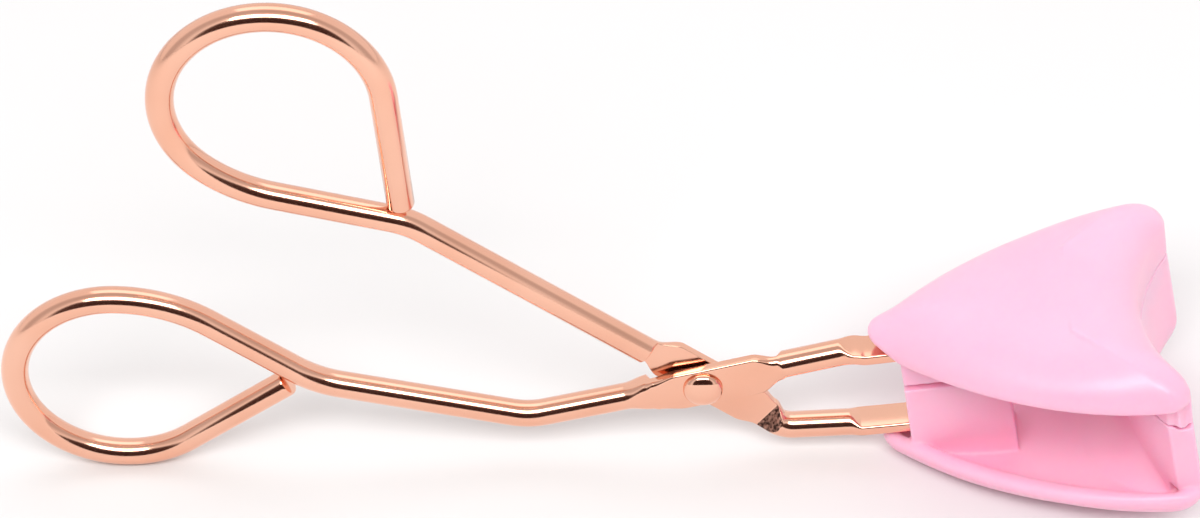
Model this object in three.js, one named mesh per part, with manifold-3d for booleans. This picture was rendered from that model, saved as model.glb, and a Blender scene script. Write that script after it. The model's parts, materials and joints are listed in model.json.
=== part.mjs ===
// Scissor-type eyelash curler with plastic jaws: two bent wires crossing at a riveted half-lap joint.
// Millimetres, +Z up. The jaws point to +X, the rivet axis runs along Y, and the tool stands on the
// lower finger loop and on a small flat land under the lower jaw. The origin is the middle of the
// bounding box's floor.
//
// Everything is first laid out in the pivot frame: origin on the rivet axis, x along the closed jaws'
// parting line, z across it. The whole tool is then turned about Y until it stands on its two feet.
import * as THREE from "three";
import { mergeVertices } from "three/addons/utils/BufferGeometryUtils.js";
import Module from "manifold-3d";

const wasm = await Module();
wasm.setup();

// ---- driving dimensions, mm and degrees ----

const WIRE_RADIUS = 1.4; // both handles are drawn from one wire

// Half-lap joint at the pivot: each wire is pressed to a leaf-shaped flat that lies beside the other.
const LAP = { gap: 0.3, thickness: 1, halfWidth: 2.4 };

// Rivet: domed head on the near side, flatter peened tail on the far side.
const RIVET = { shank: 1, holeClearance: 0.1, seat: 0.1 };
const RIVET_HEAD = { radius: 2.05, height: 1.05 };
const RIVET_TAIL = { radius: 1.8, height: 0.55 };

// Arm ends, pressed flat the other way and glued into the jaws' sockets.
const TAB = { halfWidth: 1.7, halfThickness: 0.62, neck: 1.6, clearance: 0.1 };

// Finger loops: a gentle lead-in bend runs into the round loop, and the tail comes back to the handle.
const LOOP = { radius: 10.85, leadRadius: 16, tailGap: 0.1, endRound: 0.3 };

// Upper handle wire. Its jaw end holds the lower jaw.
const UPPER_HANDLE = {
  side: 1, // its flat lies on the +Y side
  heading: 134.3, // from the pivot towards the hand
  runs: [{ length: 36.9, radius: 9, turn: 22.1 }],
  loop: { start: 13.6, lead: -29, turn: -221.4 },
  flat: [
    { at: -6.8, half: WIRE_RADIUS },
    { at: -4.2, half: LAP.halfWidth },
    { at: 6, half: LAP.halfWidth },
    { at: 8.3, half: 1.8 },
  ],
  shoulders: [0.6, 1.6], // lengths of the slanted steps between the flat and the round wire
  jawHeading: -45.7,
  jawRuns: [
    { length: 10.63, radius: 3, turn: 40.7 },
    { length: 8, radius: 8, turn: 3.5 },
  ],
  tabStart: 14.1, // x where the round arm starts to flatten
};

// Lower handle wire. Its jaw end holds the upper jaw.
const LOWER_HANDLE = {
  side: -1,
  heading: 186.2,
  runs: [
    { length: 18.6, radius: 7, turn: -28.1 },
    { length: 22.4, radius: 12, turn: -24.6 },
  ],
  loop: { start: 13.2, lead: 35.4, turn: 219 },
  flat: [
    { at: -5.6, half: 1.85, inner: -1.2, outer: 1.28 },
    { at: -5.1, half: 1.95, outer: 1.25 },
    { at: -2.2, half: LAP.halfWidth },
    { at: 5.7, half: LAP.halfWidth },
    { at: 8.1, half: 1.5 },
  ],
  shoulders: [2.6, 0.6],
  jawHeading: 7.4,
  jawRuns: [
    { length: 15.9, radius: 2.5, turn: -24 },
    { length: 1.2, radius: 2.5, turn: 16.6 },
  ],
  tabStart: 14.4,
};

// Plan of both jaws: round tip, parabolic sides, rounded corners, concave front that fits the eyelid.
const PLAN = {
  apex: 16.3, // where the two parabolas would meet without the round tip
  sideEnd: 47.4,
  halfWidth: 14.7,
  tipRadius: 2.5,
  frontMiddle: 45,
  frontRadius: 20,
  corner: 2.2,
};
const SPINE = { start: 23.5, end: 38 }; // middle line that the shells' rings close on

// Shells: a rolled rim, then a shallow crown. Heights are measured from each jaw's rim.
const SHELL = { wall: 1.8, roll: 4, rollHeight: 4.4, tipDrop: 2.8, tipLength: 12 };
const UPPER_CROWN = 0.8;
const LOWER_CROWN = 0.25; // nearly flat underneath, so that the tool can stand on it
const UPPER_RIM = 2.1;
const LOWER_RIM = -9.6;
const TIP_NOTCH = 1.5; // the upper rim rises over the arm at the tip
const TIP_NOTCH_LENGTH = 3.6;
const KNIT = 0.05; // how far the pressing wall's lower part reaches into the shell it grows from

// Pressing edge: the upper jaw's bar closes on the lower jaw's wall, which holds the silicone pad.
const PRESS = { parting: -0.9, gap: 0.3, wall: 2.8, lean: 0.05 };
const PRESS_END = PLAN.halfWidth - 1.6; // its flat ends stand back from the shells' sides
const PAD = { grooveWidth: 1.5, grooveDepth: 2.2, clearance: 0.1, halfSpan: PRESS_END - 2.1 };

// Sockets moulded inside the jaws take the tabs.
const SOCKET = { front: 20.45, back: 31, halfWidth: 2.75, upperFace: -1.4, lowerFace: -2.1, depth: 7.5 };

const LAND_DEPTH = 0.4; // how far the flat land is cut into the lower jaw's underside

// Facets
const SECTION_POINTS = 16;
const BEND_STEP = 10; // degrees of bend between two rings of a wire
const RIM_STEPS = 4;
const CROWN_STEPS = 3;

// ---- small helpers ----

const radians = THREE.MathUtils.degToRad;
const lerp = THREE.MathUtils.lerp;
const range = (count) => Array.from({ length: count }, (_, i) => i);

function solidFrom(geometry) {
  geometry.deleteAttribute("normal");
  geometry.deleteAttribute("uv");
  const merged = mergeVertices(geometry, 1e-4);
  const corners = merged.index.array;
  const kept = [];
  for (let i = 0; i < corners.length; i += 3) {
    const [a, b, c] = corners.slice(i, i + 3);
    if (a !== b && b !== c && c !== a) kept.push(a, b, c);
  }
  const mesh = new wasm.Mesh({
    numProp: 3,
    vertProperties: merged.attributes.position.array,
    triVerts: new Uint32Array(kept),
  });
  return new wasm.Manifold(mesh);
}

function meshFrom(name, solid, look) {
  const data = solid.getMesh();
  const geometry = new THREE.BufferGeometry();
  geometry.setAttribute("position", new THREE.BufferAttribute(new Float32Array(data.vertProperties), 3));
  geometry.setIndex(new THREE.BufferAttribute(new Uint32Array(data.triVerts), 1));
  geometry.computeVertexNormals();
  const mesh = new THREE.Mesh(geometry, new THREE.MeshStandardMaterial(look));
  mesh.name = name;
  return mesh;
}

// Skin over a list of rings with the same number of points. Open ends are closed with a fan.
function loft(rings, closeEnds) {
  const count = rings[0].length;
  const positions = rings.flat().flatMap((p) => [p.x, p.y, p.z]);
  const faces = [];
  for (let r = 0; r + 1 < rings.length; r += 1) {
    for (let i = 0; i < count; i += 1) {
      const a = r * count + i;
      const b = r * count + ((i + 1) % count);
      faces.push(a, b, b + count, a, b + count, a + count);
    }
  }
  if (closeEnds) {
    const last = (rings.length - 1) * count;
    for (let i = 1; i + 1 < count; i += 1) {
      faces.push(0, i + 1, i);
      faces.push(last, last + i, last + i + 1);
    }
  }
  const geometry = new THREE.BufferGeometry();
  geometry.setAttribute("position", new THREE.Float32BufferAttribute(positions, 3));
  geometry.setIndex(faces);
  return geometry;
}

function boxSolid(x0, x1, y0, y1, z0, z1) {
  const geometry = new THREE.BoxGeometry(x1 - x0, y1 - y0, z1 - z0);
  geometry.translate((x0 + x1) / 2, (y0 + y1) / 2, (z0 + z1) / 2);
  return solidFrom(geometry);
}

// A plan outline in x and y, raised from z0 to z1.
function prismSolid(points, z0, z1) {
  const shape = new THREE.Shape(points);
  const geometry = new THREE.ExtrudeGeometry(shape, { depth: z1 - z0, bevelEnabled: false });
  geometry.translate(0, 0, z0);
  return solidFrom(geometry);
}

// ---- wires ----

// A bent wire's centre line in the XZ plane, as straights and bends that follow each other.
class Route {
  constructor(heading) {
    this.pieces = [];
    this.x = 0;
    this.z = 0;
    this.heading = heading;
    this.length = 0;
    this.used = 0; // part of the current run that the last bend has taken up
  }

  straight(length) {
    this.add({ length, turn: 0 });
    return this;
  }

  bend(radius, turn) {
    this.add({ length: radius * radians(Math.abs(turn)), turn, radius });
    return this;
  }

  // A bend whose corner lies the given distance past the last corner, as on a bending drawing.
  corner({ length, radius, turn }) {
    const tangent = radius * Math.tan(radians(Math.abs(turn) / 2));
    this.straight(length - this.used - tangent).bend(radius, turn);
    this.used = tangent;
    return this;
  }

  add(piece) {
    const from = { x: this.x, z: this.z, heading: this.heading, start: this.length };
    this.pieces.push({ ...piece, ...from });
    this.length += piece.length;
    const end = this.at(this.length);
    this.x = end.x;
    this.z = end.z;
    this.heading = end.heading;
  }

  at(distance) {
    const piece = this.pieces.findLast((p) => p.start <= distance) ?? this.pieces[0];
    const share = (distance - piece.start) / piece.length;
    const from = radians(piece.heading);
    if (!piece.turn) {
      const gone = distance - piece.start;
      return {
        x: piece.x + gone * Math.cos(from),
        z: piece.z + gone * Math.sin(from),
        heading: piece.heading,
      };
    }
    const sign = Math.sign(piece.turn);
    const to = from + radians(piece.turn * share);
    return {
      x: piece.x + sign * piece.radius * (Math.sin(to) - Math.sin(from)),
      z: piece.z - sign * piece.radius * (Math.cos(to) - Math.cos(from)),
      heading: piece.heading + piece.turn * share,
    };
  }

  stops() {
    const stops = this.pieces.flatMap((p) => {
      const steps = Math.max(1, Math.ceil(Math.abs(p.turn) / BEND_STEP));
      return range(steps).map((i) => p.start + (p.length * i) / steps);
    });
    return [...stops, this.length];
  }
}

// The handle side: runs, lead-in, loop, and a tail cut just short of the handle it comes back to.
function handleRoute({ heading, runs, loop }) {
  const route = new Route(heading);
  runs.forEach((run) => route.corner(run));
  const run = { x: route.x, z: route.z, heading: radians(route.heading) };
  route.straight(loop.start - route.used);
  route.bend(LOOP.leadRadius, loop.lead).bend(LOOP.radius, loop.turn);
  const tail = radians(route.heading);
  const meet = Math.sin(tail - run.heading);
  const across = (route.x - run.x) * Math.sin(run.heading) - (route.z - run.z) * Math.cos(run.heading);
  const slant = Math.abs(Math.cos(tail - run.heading));
  const short = (WIRE_RADIUS * (1 + slant) + LOOP.tailGap) / Math.abs(meet);
  return route.straight(across / meet - short);
}

function jawRoute({ jawHeading, jawRuns }) {
  const route = new Route(jawHeading);
  jawRuns.forEach((run) => route.corner(run));
  const reach = SOCKET.front + SOCKET.depth - route.x;
  return route.straight(reach / Math.cos(radians(route.heading)));
}

// Sections along a wire: half is measured in the XZ plane, low and high along Y, and square runs from
// 0 for round to 1 for a flat with small rounded corners.
const ROUND = { half: WIRE_RADIUS, low: -WIRE_RADIUS, high: WIRE_RADIUS, square: 0 };
const TAB_SECTION = { half: TAB.halfThickness, low: -TAB.halfWidth, high: TAB.halfWidth, square: 1 };

// A section of the flat, between its inner face and its outer one.
function lapSection(side, { half, inner = LAP.gap / 2, outer = LAP.gap / 2 + LAP.thickness }) {
  const faces = [side * inner, side * outer];
  return { half, low: Math.min(...faces), high: Math.max(...faces), square: inner < 0 ? 0.5 : 1 };
}

function shrink(section, inset) {
  return { ...section, half: section.half - inset, low: section.low + inset, high: section.high - inset };
}

function sectionStops(wire, handle, jaw) {
  const start = distanceAtX(jaw, wire.tabStart);
  return [
    { at: -handle.length, ...shrink(ROUND, LOOP.endRound) },
    { at: -handle.length + LOOP.endRound, ...ROUND },
    { at: wire.flat[0].at - wire.shoulders[0], ...ROUND },
    ...wire.flat.map((stop) => ({ at: stop.at, ...lapSection(wire.side, stop) })),
    { at: wire.flat.at(-1).at + wire.shoulders[1], ...ROUND },
    { at: start, ...ROUND },
    { at: start + TAB.neck, ...TAB_SECTION },
    { at: jaw.length, ...TAB_SECTION },
  ];
}

function distanceAtX(route, x) {
  const piece = route.pieces.findLast((p) => p.x <= x);
  return piece.start + (x - piece.x) / Math.cos(radians(piece.heading));
}

function sectionAt(stops, distance) {
  const next = Math.max(1, stops.findIndex((s) => s.at >= distance - 1e-9));
  const [a, b] = [stops[next - 1], stops[next]];
  const share = (distance - a.at) / (b.at - a.at);
  const mix = (key) => lerp(a[key], b[key], share);
  return { half: mix("half"), low: mix("low"), high: mix("high"), square: mix("square") };
}

function sectionRing(place, section) {
  const heading = radians(place.heading);
  const power = lerp(1, 0.3, section.square);
  const boxy = (v) => Math.sign(v) * Math.abs(v) ** power;
  const middle = (section.low + section.high) / 2;
  const reach = (section.high - section.low) / 2;
  return range(SECTION_POINTS).map((i) => {
    const angle = (2 * Math.PI * (i + 0.5)) / SECTION_POINTS;
    const out = section.half * boxy(Math.cos(angle));
    const y = middle - reach * boxy(Math.sin(angle));
    return new THREE.Vector3(place.x - out * Math.sin(heading), y, place.z + out * Math.cos(heading));
  });
}

function rivetHole() {
  const length = 4 * LAP.thickness + LAP.gap;
  const radius = RIVET.shank + RIVET.holeClearance;
  return solidFrom(new THREE.CylinderGeometry(radius, radius, length, 2 * SECTION_POINTS));
}

function wireSolid(wire) {
  const handle = handleRoute(wire);
  const jaw = jawRoute(wire);
  const sections = sectionStops(wire, handle, jaw);
  const marks = [...handle.stops().map((s) => -s), ...jaw.stops(), ...sections.map((s) => s.at)];
  const distances = marks.sort((a, b) => a - b).filter((s, i, all) => i === 0 || s - all[i - 1] > 0.02);
  const rings = distances.map((s) => {
    const place = s < 0 ? handle.at(-s) : jaw.at(s);
    const forward = s < 0 ? { ...place, heading: place.heading + 180 } : place;
    return sectionRing(forward, sectionAt(sections, s));
  });
  return solidFrom(loft(rings, true)).subtract(rivetHole());
}

// ---- rivet ----

// A turned rivet on the Y axis. Its profile starts and ends on the axis.
function rivetSolid() {
  const seat = LAP.gap / 2 + LAP.thickness + RIVET.seat;
  const dome = ({ radius, height }, sign) => range(RIM_STEPS + 2).map((i) => {
    const angle = (Math.PI / 2) * (i / (RIM_STEPS + 1));
    return new THREE.Vector2(radius * Math.cos(angle), sign * (seat + height * Math.sin(angle)));
  });
  const head = dome(RIVET_HEAD, -1);
  const tail = dome(RIVET_TAIL, 1);
  const profile = [
    ...head.reverse(),
    new THREE.Vector2(RIVET.shank, -seat),
    new THREE.Vector2(RIVET.shank, seat),
    ...tail,
  ];
  return solidFrom(new THREE.LatheGeometry(profile, 2 * SECTION_POINTS));
}

// ---- jaws ----

function arcPoints(cx, cy, radius, from, to, steps) {
  return range(steps + 1).map((i) => {
    const angle = lerp(from, to, i / steps);
    return new THREE.Vector2(cx + radius * Math.cos(angle), cy + radius * Math.sin(angle));
  });
}

const FRONT_CENTRE = PLAN.frontMiddle + PLAN.frontRadius;

// The corner arc touches the straight end of the side and the concave front.
function cornerArc() {
  const y = PLAN.halfWidth - PLAN.corner;
  const x = FRONT_CENTRE - Math.sqrt((PLAN.frontRadius + PLAN.corner) ** 2 - y ** 2);
  return { x, y, end: Math.atan2(-y, FRONT_CENTRE - x) };
}

// Where the tip's circle touches the parabolic side: the side's normal there is one radius long.
function tipArc() {
  const length = PLAN.sideEnd - PLAN.apex;
  const side = (x) => PLAN.halfWidth * (1 - (1 - (x - PLAN.apex) / length) ** 2);
  const slope = (x) => (2 * PLAN.halfWidth * (1 - (x - PLAN.apex) / length)) / length;
  let low = PLAN.apex;
  let high = PLAN.sideEnd;
  for (let i = 0; i < 40; i += 1) {
    const x = (low + high) / 2;
    if (side(x) * Math.hypot(1, slope(x)) < PLAN.tipRadius) low = x;
    else high = x;
  }
  return { touch: low, y: side(low), centre: low + side(low) * slope(low), side };
}

// Half of the plan outline, from the tip to the middle of the front, each point with its place on the
// spine that the shells' rings run to.
function halfOutline() {
  const tip = tipArc();
  const corner = cornerArc();
  const touch = Math.atan2(tip.y, tip.touch - tip.centre);
  const tipPoints = arcPoints(tip.centre, 0, PLAN.tipRadius, Math.PI, touch, 4);
  const sidePoints = range(9).map((i) => {
    const x = lerp(tip.touch, corner.x, (i + 1) / 9);
    return new THREE.Vector2(x, tip.side(Math.min(x, PLAN.sideEnd)));
  });
  const cornerPoints = arcPoints(corner.x, corner.y, PLAN.corner, Math.PI / 2, corner.end, 5).slice(1);
  const frontStart = Math.PI + corner.end;
  const frontPoints = arcPoints(FRONT_CENTRE, 0, PLAN.frontRadius, frontStart, Math.PI, 6).slice(1);
  const reach = (x) => THREE.MathUtils.clamp((x - PLAN.apex) / (corner.x - PLAN.apex), 0, 1);
  const withSpine = (p, x) => ({ x: p.x, y: p.y, spine: x });
  return [
    ...[...tipPoints, ...sidePoints].map((p) => withSpine(p, lerp(SPINE.start, SPINE.end, reach(p.x)))),
    ...[...cornerPoints, ...frontPoints].map((p) => withSpine(p, SPINE.end)),
  ];
}

// The whole outline, counterclockwise from the tip round the -Y side.
function planOutline() {
  const half = halfOutline();
  const mirrored = half.map((p) => ({ ...p, y: -p.y }));
  return [...mirrored, ...half.slice(1, -1).reverse()];
}

const OUTLINE = planOutline();

// How far the shell's top is lowered towards the tip.
function tipDrop(x) {
  const away = THREE.MathUtils.clamp((x - PLAN.apex) / SHELL.tipLength, 0, 1);
  return SHELL.tipDrop * (1 - away) ** 2;
}

// A dome that stands on the rim plane: outline inset by the wall, a rolled edge, then a crown.
// base(x) is the height of its lower face, and inset is 0 for the outside.
function domeSolid(inset, base, crown) {
  const roll = SHELL.roll - inset * 0.5;
  const lift = SHELL.rollHeight - inset;
  const top = (x) => lift - tipDrop(x);
  const ring = (depth, share, height) => OUTLINE.map((p) => {
    const reach = Math.hypot(p.x - p.spine, p.y);
    const way = lerp((inset + depth) / reach, 1, share);
    const x = lerp(p.x, p.spine, way);
    return new THREE.Vector3(x, lerp(p.y, 0, way), height(x));
  });
  const rims = range(RIM_STEPS + 1).map((i) => {
    const angle = (Math.PI / 2) * (i / RIM_STEPS);
    return ring(roll * (1 - Math.cos(angle)), 0, (x) => lerp(base(x), top(x), Math.sin(angle)));
  });
  const crowns = range(CROWN_STEPS).map((i) => {
    const share = (i + 1) / CROWN_STEPS;
    return ring(roll, share, (x) => top(x) + crown * (1 - (1 - share) ** 2));
  });
  return solidFrom(loft([ring(0, 1, base), ...rims, ...crowns], false));
}

// A hollow shell, rim down on z = 0, with a socket block and the pressing wall that reach from their
// lower faces up into it.
function shellSolid(rimLift, crown, blockFace, wallFace) {
  const outer = domeSolid(0, rimLift, crown);
  const inner = domeSolid(SHELL.wall, () => -1, crown);
  const { front, back, halfWidth } = SOCKET;
  const highest = SHELL.rollHeight + crown + 1;
  const block = (top) => boxSolid(front, back, -halfWidth, halfWidth, blockFace, top);
  const wall = (top) => prismSolid(wallPlan(), wallFace, top);
  const within = block(highest).add(wall(highest)).intersect(outer);
  return outer.subtract(inner).add(within).add(block(TIP_NOTCH)).add(wall(KNIT));
}

// Plan of the pressing wall: the concave front, the corners, flat ends, and a parallel inner face.
function wallPlan() {
  const corner = cornerArc();
  const inner = PLAN.frontRadius + PRESS.wall;
  const cut = Math.asin((PRESS_END - corner.y) / PLAN.corner);
  const innerEnd = Math.asin(PRESS_END / inner);
  const half = [
    ...arcPoints(FRONT_CENTRE, 0, PLAN.frontRadius, Math.PI, Math.PI + corner.end, 6),
    ...arcPoints(corner.x, corner.y, PLAN.corner, corner.end, cut, 3).slice(1),
    ...arcPoints(FRONT_CENTRE, 0, inner, Math.PI - innerEnd, Math.PI, 6),
  ];
  return [...half, ...half.slice(1, -1).reverse().map((p) => new THREE.Vector2(p.x, -p.y))];
}

// A curved strip centred in the wall, for the pad and its groove.
function stripPlan(width, halfSpan) {
  const middle = PLAN.frontRadius + PRESS.wall / 2;
  const strip = (radius, sign) => {
    const end = Math.asin(halfSpan / radius);
    return arcPoints(FRONT_CENTRE, 0, radius, Math.PI - sign * end, Math.PI + sign * end, 12);
  };
  return [...strip(middle - width / 2, 1), ...strip(middle + width / 2, -1)];
}

// The lower jaw's front leans forward below the parting line.
function lean(solid) {
  return solid.warp((v) => {
    const share = THREE.MathUtils.smoothstep(v[0], SPINE.start, SPINE.end);
    v[0] += PRESS.lean * share * Math.max(0, PRESS.parting - v[2]);
  });
}

function upperJawSolid() {
  const past = (x) => (x - PLAN.apex) / TIP_NOTCH_LENGTH;
  const notch = (x) => TIP_NOTCH * (1 - THREE.MathUtils.smoothstep(past(x), 0.3, 1.3));
  const bottom = PRESS.parting + PRESS.gap / 2;
  const shell = shellSolid(notch, UPPER_CROWN, SOCKET.upperFace - UPPER_RIM, bottom - UPPER_RIM);
  return shell.translate(0, 0, UPPER_RIM);
}

function lowerJawSolid() {
  const top = PRESS.parting - PRESS.gap / 2;
  const shell = shellSolid(() => 0, LOWER_CROWN, LOWER_RIM - SOCKET.lowerFace, LOWER_RIM - top);
  const placed = shell.mirror([0, 0, 1]).translate(0, 0, LOWER_RIM);
  const plan = stripPlan(PAD.grooveWidth, PAD.halfSpan + PAD.clearance);
  return lean(placed).subtract(prismSolid(plan, top - PAD.grooveDepth, top + 1));
}

function padSolid() {
  const top = PRESS.parting - PRESS.gap / 2;
  const width = PAD.grooveWidth - 2 * PAD.clearance;
  return prismSolid(stripPlan(width, PAD.halfSpan), top - PAD.grooveDepth + PAD.clearance, top);
}

// The hole that a tab is glued into, as the tab's own sweep made larger.
function tabHole(wire) {
  const jaw = jawRoute(wire);
  const start = distanceAtX(jaw, wire.tabStart);
  const space = shrink(TAB_SECTION, -TAB.clearance);
  const roomy = shrink(ROUND, -TAB.clearance);
  const stops = [
    { at: start - WIRE_RADIUS, ...roomy },
    { at: start, ...roomy },
    { at: start + TAB.neck, ...space },
    { at: jaw.length + TAB.clearance, ...space },
  ];
  const between = jaw.stops().filter((s) => s > stops[0].at && s < jaw.length);
  const distances = [...between, ...stops.map((s) => s.at)].sort((a, b) => a - b);
  const apart = distances.filter((s, i, all) => i === 0 || s - all[i - 1] > 0.02);
  return solidFrom(loft(apart.map((s) => sectionRing(jaw.at(s), sectionAt(stops, s))), true));
}

// ---- standing on the floor ----

// Centre of the lower finger loop, in the pivot frame.
function lowerLoopCentre() {
  const route = handleRoute(LOWER_HANDLE);
  const loop = route.pieces.findLast((p) => p.turn);
  const heading = radians(loop.heading);
  const sign = Math.sign(loop.turn);
  return {
    x: loop.x - sign * loop.radius * Math.sin(heading),
    z: loop.z + sign * loop.radius * Math.cos(heading),
  };
}

// The floor line under the loop and under the jaw. It passes LAND_DEPTH above the jaw's lowest point.
function floorLine(jaw) {
  const vertices = jaw.getMesh().vertProperties;
  const points = range(vertices.length / 3).map((i) => ({ x: vertices[3 * i], z: vertices[3 * i + 2] }));
  const centre = lowerLoopCentre();
  const radius = LOOP.radius + WIRE_RADIUS;
  let slope = 0;
  for (let i = 0; i < 20; i += 1) {
    const height = (p) => p.z * Math.cos(slope) - p.x * Math.sin(slope);
    const lowest = points.reduce((best, p) => (height(p) < height(best) ? p : best));
    const foot = { x: lowest.x - LAND_DEPTH * Math.sin(slope), z: lowest.z + LAND_DEPTH * Math.cos(slope) };
    const away = Math.hypot(foot.x - centre.x, foot.z - centre.z);
    slope = Math.atan2(foot.z - centre.z, foot.x - centre.x) + Math.asin(radius / away);
  }
  const level = centre.z * Math.cos(slope) - centre.x * Math.sin(slope) - radius;
  return { slope, level };
}

function cutLand(jaw, floor) {
  const size = 2 * FRONT_CENTRE;
  const below = boxSolid(-size, size, -size, size, floor.level - size, floor.level);
  return jaw.subtract(below.rotate([0, -THREE.MathUtils.radToDeg(floor.slope), 0]));
}

// ---- assembly ----

const ROSE_GOLD = { color: 0xe8a98c, roughness: 0.16, metalness: 1 };
const PINK = { color: 0xffb7d8, roughness: 0.42, metalness: 0 };
const SILICONE = { color: 0xf6e9ee, roughness: 0.7, metalness: 0 };

const lowerJawBlank = lowerJawSolid().subtract(tabHole(UPPER_HANDLE));
const floor = floorLine(lowerJawBlank);

const tool = new THREE.Group();
tool.add(meshFrom("upper_handle_wire", wireSolid(UPPER_HANDLE), ROSE_GOLD));
tool.add(meshFrom("lower_handle_wire", wireSolid(LOWER_HANDLE), ROSE_GOLD));
tool.add(meshFrom("pivot_rivet", rivetSolid(), { ...ROSE_GOLD, roughness: 0.12 }));
tool.add(meshFrom("upper_jaw", upperJawSolid().subtract(tabHole(LOWER_HANDLE)), PINK));
tool.add(meshFrom("lower_jaw", cutLand(lowerJawBlank, floor), PINK));
tool.add(meshFrom("silicone_pad", padSolid(), SILICONE));
tool.rotation.y = floor.slope;

const curler = new THREE.Group();
curler.add(tool);
const box = new THREE.Box3().setFromObject(curler, true);
tool.position.set(-(box.min.x + box.max.x) / 2, 0, -box.min.z);

export default curler;
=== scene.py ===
"""Eyelash curler with rose-gold wire handles and pink plastic jaws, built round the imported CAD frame.

Shapes are laid out in millimetres in the pivot frame: origin on the rivet axis, x along the parting line
of the closed jaws, z across it, y along the rivet. PLACE carries that frame into the row frame in metres.
"""
import json
import math

import bpy
import bmesh
from mathutils import Matrix, Vector


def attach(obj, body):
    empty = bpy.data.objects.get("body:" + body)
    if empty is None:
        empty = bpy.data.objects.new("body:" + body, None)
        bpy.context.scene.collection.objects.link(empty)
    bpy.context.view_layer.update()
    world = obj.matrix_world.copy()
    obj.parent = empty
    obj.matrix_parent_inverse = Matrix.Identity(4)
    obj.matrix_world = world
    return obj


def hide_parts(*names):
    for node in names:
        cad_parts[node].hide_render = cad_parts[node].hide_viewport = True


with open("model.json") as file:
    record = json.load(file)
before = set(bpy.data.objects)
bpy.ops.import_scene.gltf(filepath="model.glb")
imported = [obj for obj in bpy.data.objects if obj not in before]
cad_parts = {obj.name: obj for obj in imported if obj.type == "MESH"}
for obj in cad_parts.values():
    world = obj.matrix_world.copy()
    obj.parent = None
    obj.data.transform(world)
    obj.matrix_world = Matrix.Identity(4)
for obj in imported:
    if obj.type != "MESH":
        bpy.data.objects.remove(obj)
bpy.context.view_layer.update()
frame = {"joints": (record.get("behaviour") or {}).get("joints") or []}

# ---- the frame's own places ----

MM = 0.001
JOINT = next(j for j in frame["joints"] if j["name"] == "scissor_pivot")
PIVOT = Vector(JOINT["pos_m"])
TILT = math.radians(7.619)  # how far the parting line rises from the floor
PLACE = Matrix.Translation(PIVOT) @ Matrix.Rotation(-TILT, 4, "Y") @ Matrix.Scale(MM, 4)

# ---- driving dimensions, mm and degrees ----

WIRE = 1.4  # radius
LAP_FACES = (0.15, 1.15)  # a flat's inner and outer face, from the plane between the wires
LAP_HALF_WIDTH = 2.4
LAP_INNER_EDGE = 0.08  # edge radius of the faces that slide on each other
TAB_HALF_WIDTH = 1.7
TAB_HALF_THICKNESS = 0.62
TAB_EDGE = 0.3
TAB_NECK = 1.5  # length over which the round wire is pressed into the tab
LOOP_RADIUS = 10.85
LEAD_RADIUS = 16  # the gentler bend that leads into the loop
TAIL_GAP = 0.1  # between the loop's cut end and the handle it comes back to
END_ROUND = 0.28

# Headings and turns are in degrees, and a run is (length, bend radius, turn). heading, runs, lead and loop
# describe the hand's side, jaw_heading and jaw_runs the jaw's. side is the side of the lap, +Y or -Y.
# loop_start is how far past the last corner the lead-in begins, and tab_start the x where the tab does.
# A stop of the flat is (distance from the pivot, half width, y of its inner and outer faces, edge radius).
# Shoulders are the lengths of the slanted steps between the flat and the round wire.
UPPER_HANDLE = dict(
    side=1,
    heading=134.3,
    runs=[(36.9, 9, 22.1)],
    loop_start=13.6,
    lead=-29,
    loop=-221.4,
    flat=[
        (-6.8, WIRE, *LAP_FACES, 1.0),
        (-4.2, LAP_HALF_WIDTH, *LAP_FACES, 0.3),
        (6, LAP_HALF_WIDTH, *LAP_FACES, 0.3),
        (8.3, 1.8, *LAP_FACES, 0.3),
    ],
    shoulders=(0.6, 1.6),
    jaw_heading=-45.7,
    jaw_runs=[(10.63, 3, 40.7), (8, 8, 3.5)],
    tab_start=14.1,
)
LOWER_HANDLE = dict(
    side=-1,
    heading=186.2,
    runs=[(18.6, 7, -28.1), (22.4, 12, -24.6)],
    loop_start=13.2,
    lead=35.4,
    loop=219,
    flat=[
        (-5.6, 1.85, -1.2, 1.28, 0.9),
        (-5.1, 1.95, LAP_FACES[0], 1.25, 0.6),
        (-2.2, LAP_HALF_WIDTH, *LAP_FACES, 0.25),
        (5.7, LAP_HALF_WIDTH, *LAP_FACES, 0.25),
        (8.1, 1.5, *LAP_FACES, 0.8),
    ],
    shoulders=(2.6, 0.6),
    jaw_heading=7.4,
    jaw_runs=[(15.9, 2.5, -24), (1.2, 2.5, 16.6)],
    tab_start=14.4,
)

RIVET_SHANK = 1.0
RIVET_HOLE_GAP = 0.03
RIVET_SEAT = 0.02  # between a flat's outer face and the head or the tail
RIVET_HEAD = dict(radius=2.05, height=1.05, lip=0.12)
RIVET_TAIL = dict(radius=1.8, height=0.55, lip=0.1)

APEX = 16.3  # a jaw's sides are parabolas that run from here to SIDE_END, blunted by the tip's circle
SIDE_END = 47.4
HALF_WIDTH = 14.7
TIP_RADIUS = 2.5
FRONT_MIDDLE = 45
FRONT_RADIUS = 20  # the concave front that fits the brow
FRONT_CENTRE = FRONT_MIDDLE + FRONT_RADIUS
CORNER = 2.2
SPINE_START = 23.5
SPINE_END = 38
SPINE_BRANCH = 0.55  # the spine's arms reach this share of the way to the front corners
SPINE_FORK = 0.6  # share of the sides that close on the spine's stem, the rest on its arms
WALL = 1.8
UPPER_HEIGHT = 5.2
LOWER_HEIGHT = 4.65
UPPER_ROOT = 0.5  # how far the socket's and the wall's roots reach into the shell
LOWER_ROOT = 0.6
UPPER_FULLNESS = 2.6  # how soon the dome levels off from its rim
LOWER_FULLNESS = 3.0
TIP_DROP = 1.6  # how much lower the dome is at the tip
TIP_LENGTH = 12
UPPER_RIM = 2.1
LOWER_RIM = -9.6
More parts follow.
